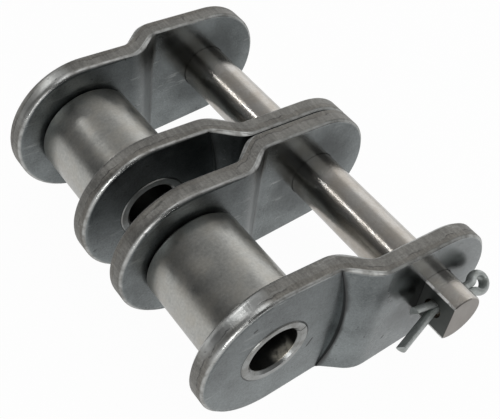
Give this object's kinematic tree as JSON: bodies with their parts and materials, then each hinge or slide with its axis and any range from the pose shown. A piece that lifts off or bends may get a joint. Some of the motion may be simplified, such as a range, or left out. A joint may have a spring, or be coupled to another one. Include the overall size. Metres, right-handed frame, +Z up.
{
  "type": "offset link",
  "caption": "Cranked duplex offset link for a roller chain: joggled plates, curled bushes, free rollers and a slip-fit flatted pin held by a cotter.",
  "frame": {"origin": "on the common axis of the two bushes, midway between the two strands", "axes": "+X along the chain from the bush end to the pin end, +Y across the strands along the bushes and the pin, away from the cotter pin, +Z up, square to both"},
  "size_m": [0.0357, 0.0504, 0.0178],
  "materials": {
    "plate_steel": "bead-blasted heat-treated steel, satin, with a sheared brownish rim",
    "bush_steel": "curled strip, case hardened, smooth",
    "roller_steel": "turned and tumbled steel, satin",
    "pin_steel": "ground and polished steel",
    "cotter_steel": "soft half-round steel wire, zinc bright"
  },
  "bodies": {
    "frame": {"near_outer_plate": "plate_steel", "near_inner_plate": "plate_steel", "far_inner_plate": "plate_steel", "far_outer_plate": "plate_steel", "near_bush": "bush_steel", "far_bush": "bush_steel"},
    "near_roller": {"near_roller": "roller_steel"},
    "far_roller": {"far_roller": "roller_steel"},
    "pin": {"long_pin": "pin_steel", "cotter_pin": "cotter_steel"}
  },
  "joints": [
    {"name": "near_roller_spin", "type": "hinge", "parent": "frame", "child": "near_roller", "pos_m": [0, -0.01139, 0], "axis": [0, 1, 0], "continuous": true},
    {"name": "far_roller_spin", "type": "hinge", "parent": "frame", "child": "far_roller", "pos_m": [0, 0.01139, 0], "axis": [0, 1, 0], "continuous": true},
    {"name": "pin_slide", "type": "slide", "parent": "frame", "child": "pin", "axis": [0, 1, 0], "range_m": [0, 0.0005]}
  ]
}
